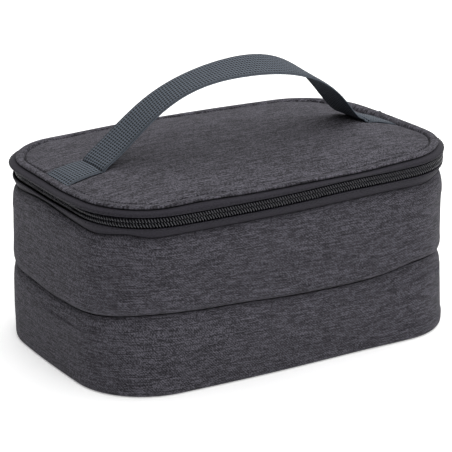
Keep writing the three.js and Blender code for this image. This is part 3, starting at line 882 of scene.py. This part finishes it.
def strap_pull(points):
    """How far the feet of the webbing pull the lid up at points of its surface."""
    x, y = points[..., 0], points[..., 1]
    lift = 0
    for foot, rise in zip((-STRAP_FEET[0], STRAP_FEET[1]), STRAP_PULLS):
        lift = lift + rise * np.exp(-((x - foot) ** 2 + y**2) / STRAP_PULL_WIDTH**2)
    return lift


def add_lid():
    s = ALL_ROUND
    rim = rim_height(s)
    ends = plan(s)[0]
    offsets, shares, heights = [], [], []
    for share in np.concatenate([np.linspace(0.05, 0.8, 20), np.linspace(0.82, 0.98, 9)]):
        settle = RIM + share**6 * (rim - RIM) - (1 - share**6) * lid_drop(share * ends)
        offsets.append(PANEL_SEAM)
        shares.append(share)
        heights.append(settle + lid_surface(share) - edge_sink(s) * share**8)
    groove = (PANEL_SEAM, -8.5, -8.0, -7.75, -7.5, -7.3, -7.1, -6.85, -6.6)
    roll = (-6.1, -5.5, -4.8, -4.2, -3.6)
    for offset in groove + roll:
        offsets.append(offset + roll_shift(s) * fade(offset, -7, -4))
        shares.append(1.0)
        heights.append(rim + lid_profile(s, offset))
    lip = [(-3.0, 1.12), (-2.5, 0.82), (-2.2, 0.42), (-2.15, 0.0), (-2.4, -0.35), (-3.2, -0.5)]
    for offset, height in lip:
        offsets.append(offset + roll_shift(s))
        shares.append(1.0)
        heights.append(rim + height)
    rows = plan_rows(s, offsets, shares, heights)
    edge = fade(np.array(shares), 0.55, 0.95)[:, None]
    inside = np.array([np.max(offset) <= -8.0 for offset in offsets])[:, None]
    press = strap_press(rows)
    loose = inside * (1 - press / STRAP_PRESS)
    rows[..., 2] += loose * 0.5 * ripple(rows, (60, 60, 60), 21.3) * (1 - 0.4 * edge)
    rows[..., 2] += loose * edge * 0.22 * ripple(rows, (16, 16, 16), 2.6)
    rows[..., 2] += inside * (strap_pull(rows) - press)
    deep = -2.4 - 1.6 * edge_sink(s)
    under_offsets = (-4.6, -6.2, PANEL_SEAM, PANEL_SEAM, PANEL_SEAM)
    under_heights = [rim + height for height in (-1.3, deep, deep, -1.5, 0.0)]
    under = plan_rows(s, under_offsets, (1, 1, 1, 0.8, 0.4), under_heights)
    top = (0, 0, RIM + lid_surface(0) - lid_drop(np.zeros(2)))
    cover = disc("lid_cover", np.concatenate([rows, under]), top, (0, 0, RIM), lid_melange)
    on_body(cover, "lid", "melange_cloth", "lid_panel", "lid_edge_roll", "lid_foam")
    return cover


# Linings and bindings
def rounded_ring(centre_offset, centre_height, half_width, half_height, corners):
    """A section between an ellipse and a box. corners is 2 for the ellipse, and more for a squarer one."""
    rows = []
    for turn in np.linspace(0, 2 * math.pi, 20, endpoint=False):
        x, y = math.cos(turn), math.sin(turn)
        power = 2 / corners
        offset = math.copysign(abs(x) ** power, x) * half_width
        height = math.copysign(abs(y) ** power, y) * half_height
        rows.append((centre_offset + offset, centre_height + height))
    return rows


def add_linings():
    s = ALL_ROUND
    mouth = band("mouth_edge", s, rounded_ring(-6.0, MOUTH_HEIGHT, 2.2, 1.9, 3), binding, True)
    on_body(mouth, "body", "binding_tape", "mouth_binding")
    under_rim = rim_height(s) - 3.5 - edge_sink(s)
    seam = band("lid_edge_binding", s, rounded_ring(-5.4, under_rim, 1.9, 1.7, 3), binding, True)
    on_body(seam, "lid", "binding_tape", "lid_binding")

    def crumple(points):
        return 0.5 * ripple(points, (26, 26, 18), 31.7) + 0.2 * ripple(points, (9, 9, 7), 4.9)

    rows = [(LINING_BACK, LINING_LOW), (LINING_BACK, LINING_HIGH)]
    rows += [(LINING_FACE, height) for height in np.linspace(LINING_HIGH, LINING_LOW, 26)]
    wall = band("wall_lining_film", s, rows, foil, True, crumple)
    on_body(wall, "body", "foil_lining", "wall_lining")

    shares = np.concatenate([np.linspace(0.08, 0.96, 16), [1.0]])
    steps = len(shares)
    for name, body, nodes, foam, offset, low, high, faces_up in (
        ("base_lining_film", "body", ["base_lining", "base_foam"], "base_foam", -8.6, 8.8, 9.5, True),
        ("lid_lining_film", "lid", ["lid_lining"], "lid_foam", -7.8, 102.6, 103.3, False),
    ):
        over = plan_rows(s, [offset] * steps, shares, [high] * steps)
        below = plan_rows(s, [offset] * steps, shares[::-1], [low] * steps)
        if not faces_up:
            over[..., 2] -= lid_drop(over)
            below[..., 2] -= lid_drop(below)
        face = over if faces_up else below
        face[..., 2] += 0.35 * ripple(face, (34, 34, 34), 14.2) + 0.12 * ripple(face, (11, 11, 11), 6.1)
        middle = 0 if faces_up else lid_drop(np.zeros(2))
        film = disc(name, np.concatenate([over, below]), (0, 0, high - middle), (0, 0, low - middle), foil)
        on_body(film, body, "foil_lining", *nodes)


# Webbing handle
def lid_heights(lid, x, y):
    """Heights of the lid's top at places in its plan, from the BVH tree of its cloth."""
    heights = []
    for place in np.column_stack([np.ravel(x), np.ravel(y)]):
        hit = lid.ray_cast(Vector((*place, 200.0)) * MM, Vector((0, 0, -1)))[0]
        heights.append(hit.z / MM if hit else 0.0)
    return np.reshape(heights, np.shape(x))


def strap_line(lid):
    """The webbing's centreline from its left end to its right end, with its twist, at even steps."""
    top = STRAP_FOOT_HEIGHT + STRAP_RISE
    foot = np.array([-STRAP_FEET[0], STRAP_FOOT_HEIGHT])
    apex = np.array([STRAP_APEX, top])
    far = np.array([STRAP_FEET[1], STRAP_FOOT_HEIGHT])
    t = np.linspace(0, 1, 160)[:, None]

    def bezier(a, b, c, d):
        return (1 - t) ** 3 * a + 3 * (1 - t) ** 2 * t * b + 3 * (1 - t) * t**2 * c + t**3 * d

    def near(end, share, rise):
        return np.array([end[0] * share, STRAP_FOOT_HEIGHT + rise * STRAP_RISE])

    left = bezier(foot, near(foot, *LEFT_FOOT_HANDLE), near(foot, LEFT_TOP_HANDLE, 1), apex)
    right = bezier(apex, near(far, RIGHT_TOP_HANDLE, 1), near(far, *RIGHT_FOOT_HANDLE), far)
    arch = np.vstack([left[:-1], right])
    rise = (arch[:, 1] - STRAP_FOOT_HEIGHT) / STRAP_RISE
    length = np.concatenate([[0], np.cumsum(np.linalg.norm(np.diff(arch, axis=0), axis=1))])
    u = length / length[-1]
    last = len(STRAP_TWISTS) + 1
    twist = 0
    for power, turn in enumerate(np.radians(STRAP_TWISTS), start=1):
        twist = twist + math.comb(last, power) * u**power * (1 - u) ** (last - power) * turn
    arch = np.column_stack([arch[:, 0], -STRAP_REACH * rise**2, arch[:, 1], twist])

    flats = []
    for sign, stitch in zip((-1, 1), STRAP_STITCHES):
        x = sign * np.linspace(STRAP_END, stitch, 40)
        flats.append(np.column_stack([x, 0 * x, lid_heights(lid, x, 0 * x), 0 * x]))
    line = np.vstack([flats[0], arch[1:-1], flats[1][::-1]])

    length = np.concatenate([[0], np.cumsum(np.linalg.norm(np.diff(line[:, :3], axis=0), axis=1))])
    even = np.linspace(0, length[-1], STRAP_STEPS)
    line = np.column_stack([np.interp(even, length, column) for column in line.T])
    reach = 3
    weights = np.exp(-(np.arange(-2 * reach, 2 * reach + 1) / reach) ** 2)
    weights /= weights.sum()
    for column in range(4):
        padded = np.pad(line[:, column], 2 * reach, mode="reflect", reflect_type="odd")
        line[:, column] = np.convolve(padded, weights, mode="valid")
    return line, even


def strap_frames(line):
    """The directions across the webbing and out of its upper face along its centreline."""
    along = np.gradient(line[:, :3], axis=0)
    along /= np.linalg.norm(along, axis=1, keepdims=True)
    twist = line[:, 3]
    right = np.column_stack([0 * twist, -np.cos(twist), -np.sin(twist)])
    right -= (right * along).sum(axis=1, keepdims=True) * along
    right /= np.linalg.norm(right, axis=1, keepdims=True)
    return right, np.cross(right, along)


def add_handle(cover):
    corners = [vertex.co for vertex in cover.data.vertices]
    lid = BVHTree.FromPolygons(corners, [face.vertices for face in cover.data.polygons])
    line, even = strap_line(lid)
    right, up = strap_frames(line)
    across = np.sin(np.linspace(-math.pi / 2, math.pi / 2, 31)) * WEBBING_WIDTH / 2
    half = WEBBING_THICK / 2 * np.sqrt(np.clip(1 - np.abs(2 * across / WEBBING_WIDTH) ** 10, 0, 1))
    ring = list(zip(across, -half)) + list(zip(across[-2:0:-1], half[-2:0:-1]))
    folds = np.array([STRAP_END - STRAP_STITCHES[0], even[-1] - STRAP_END + STRAP_STITCHES[1]])
    from_end = np.minimum(even, even[-1] - even)
    from_fold = np.abs(even[:, None] - folds).min(axis=1)
    thin = 0.15 + 0.85 * fade(from_end, 0, 7)
    points = []
    for sideways, outwards in ring:
        points.append(line[:, :3] + sideways * right + (outwards * thin)[:, None] * up)
    points = np.array(points)
    above = (np.array([outwards for _, outwards in ring])[:, None] + WEBBING_THICK / 2) * thin
    seat = lid_heights(lid, points[..., 0], points[..., 1]) + above
    points[..., 2] = np.maximum(points[..., 2], seat)
    points[..., 2] -= FOLD_DEPTH * np.exp(-((from_fold / FOLD_WIDTH) ** 2))
    rows, columns = points.shape[:2]
    flat = points.transpose(1, 0, 2).reshape(-1, 3)
    faces, uvs = [], []
    for column in range(columns - 1):
        here, there = column * rows, (column + 1) * rows
        near, far = even[column], even[column + 1]
        for row in range(rows):
            after = (row + 1) % rows
            faces.append((here + row, there + row, there + after, here + after))
            low, high = ring[row][0], ring[after][0]
            uvs += [(near, low), (far, low), (far, high), (near, high)]
    last = (columns - 1) * rows
    for order in (range(rows), [last + row for row in reversed(range(rows))]):
        faces.append(tuple(order))
        uvs += [(0, 0)] * rows
    strap = new_mesh("webbing_handle", flat, faces, uvs, webbing)
    ends = ["left_strap_root", "right_strap_root", "left_handle_end", "right_handle_end"]
    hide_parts("handle_strap", *ends)
    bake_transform(strap)

    starts, ends, outs = [], [], []
    edge = WEBBING_WIDTH / 2 - FOOT_STITCH_MARGIN

    def on_strap(place, side):
        """A point just over the webbing's upper face, and the direction out of it."""
        index = int(round(place / even[1]))
        top = points[len(across):, index]
        nearest = np.argmin(np.abs(across[-2:0:-1] - side))
        return top[nearest] + 0.05 * up[index], up[index]

    for place in folds:
        for side in np.arange(-edge, edge - FOOT_STITCH_LENGTH, FOOT_STITCH_PITCH):
            start, out = on_strap(place, side)
            starts.append(start)
            ends.append(on_strap(place, side + FOOT_STITCH_LENGTH)[0])
            outs.append(out)
    row = stitches("handle_stitches", np.array(starts), np.array(ends), np.array(outs), FOOT_THREAD, thread)
    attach(row, "lid")


# Zip slider and its pull
def at_slider(along, out, height):
    """Points in a frame at the slider: along the zip, out of the bag and up from the zip's middle."""
    base, away = plan(np.array(SLIDER_AT))
    ahead = np.array([-away[1], away[0]])
    xy = base + np.asarray(along)[..., None] * ahead + np.asarray(out)[..., None] * away
    return np.concatenate([xy, ZIP_CENTRE + np.broadcast_to(height, xy.shape[:-1])[..., None]], -1)


def add_slider():
    share = np.linspace(-1, 1, 25)
    s = SLIDER_AT + share * SLIDER_LENGTH / 2
    cap = np.sqrt(1.03 - share**6)
    middle = ZIP_CENTRE - back_dip(s) - SLIDER_SAG
    thick = PLATE_THICK / 2 * cap
    rows = rounded_ring(SLIDER_FACE - thick, middle, thick, (SLIDER_HIGH - 0.3 * share) * cap, 3.5)
    plate = band("slider_plate", s, rows, metal, False)
    on_body(plate, "slider", "dark_metal", "zip_slider")
    low = middle - SLIDER_HIGH + 0.3
    rows = rounded_ring(FLANGE_OFFSET, low, FLANGE_REACH, FLANGE_THICK / 2 * cap, 4)
    flange = band("slider_flange", s, rows, metal, False)
    on_body(flange, "slider", "dark_metal")

    turn = np.linspace(0, math.pi, 17)
    along = BAIL_LENGTH / 2 * np.sign(np.cos(turn)) * np.abs(np.cos(turn)) ** 0.5
    root = SLIDER_FACE - 0.4
    out = root + (PULL_AXIS - root) * np.sin(turn) ** 0.5
    sink = -SLIDER_SAG * (1 - np.sin(turn) ** 0.5)
    bail = tubes("slider_bail", at_slider(along, out, sink)[None], BAIL_WIRE, 10, metal)
    on_body(bail, "slider", "dark_metal")

    turn = np.linspace(0, 2 * math.pi, 33)
    loop = at_slider(0 * turn, PULL_AXIS + LOOP_RADIUS * np.cos(turn), LOOP_RADIUS * np.sin(turn))
    ring = tubes("pull_loop", loop[None], LOOP_WIRE, 10, metal)
    on_body(ring, "pull", "dark_metal")

    turn = np.linspace(0, 2 * math.pi, 64, endpoint=False)
    rise = PULL_LENGTH / 2 * np.cos(turn)
    taper = 1 - 0.55 * fade(rise, -PULL_LENGTH / 2, PULL_LENGTH / 2)
    side = -PULL_WIDTH / 2 * np.sign(np.sin(turn)) * np.abs(np.sin(turn)) ** 0.6 * taper
    outline = np.stack([side, rise])
    hole = np.stack([-np.sin(turn), np.cos(turn) - PULL_LENGTH / 2 / PULL_HOLE + 2.1]) * PULL_HOLE
    points = []
    for mix, out in rounded_ring(0.5, PULL_AXIS, 0.5, PULL_THICK / 2, 4):
        along, up = hole + (outline - hole) * mix
        low = up - LOOP_RADIUS - PULL_LENGTH / 2
        points.append(at_slider(along, np.broadcast_to(out, along.shape), low))
    tab = swept("pull_tab", np.array(points), True, np.linspace(0, 2 * PULL_LENGTH, 65), metal)
    on_body(tab, "pull", "dark_metal", "zip_pull")


# Light, floor and camera
def area_light(name, place, size, power):
    lamp = bpy.data.lights.new(name, "AREA")
    lamp.shape = "DISK"
    lamp.size = size
    lamp.energy = power
    light = bpy.data.objects.new(name, lamp)
    light.location = place
    light.rotation_euler = (Vector(LAMP_AIM) - Vector(place)).to_track_quat("-Z", "Y").to_euler()
    bpy.context.scene.collection.objects.link(light)


def add_studio():
    corners = np.array([(-1, -1, 0), (1, -1, 0), (1, 1, 0), (-1, 1, 0)]) * FLOOR_HALF / MM
    floor = new_mesh("floor", corners, [(0, 1, 2, 3)], [(0, 0)] * 4, pale_floor())

    world = bpy.data.worlds.new("studio")
    world.use_nodes = True
    background = world.node_tree.nodes["Background"]
    background.inputs["Color"].default_value = (1.0, 1.0, 1.0, 1)
    background.inputs["Strength"].default_value = SKY_STRENGTH
    bpy.context.scene.world = world

    bpy.context.scene.view_settings.view_transform = "Standard"
    for name, (place, size, power) in LAMPS.items():
        area_light(name, place, size, power)


def add_camera():
    lens = bpy.data.cameras.new("camera")
    lens.lens = CAMERA_LENS
    lens.sensor_width = CAMERA_SENSOR
    lens.clip_start = CAMERA_NEAR
    camera = bpy.data.objects.new("camera", lens)
    turn = Matrix((CAMERA_RIGHT, CAMERA_UP, CAMERA_BACK)).transposed().to_4x4()
    camera.matrix_world = Matrix.Translation(CAMERA_PLACE) @ turn
    bpy.context.scene.collection.objects.link(camera)
    bpy.context.scene.camera = camera


add_walls()
add_base()
add_zip()
add_hinge()
lid_cover = add_lid()
add_linings()
add_handle(lid_cover)
add_slider()
add_studio()
add_camera()
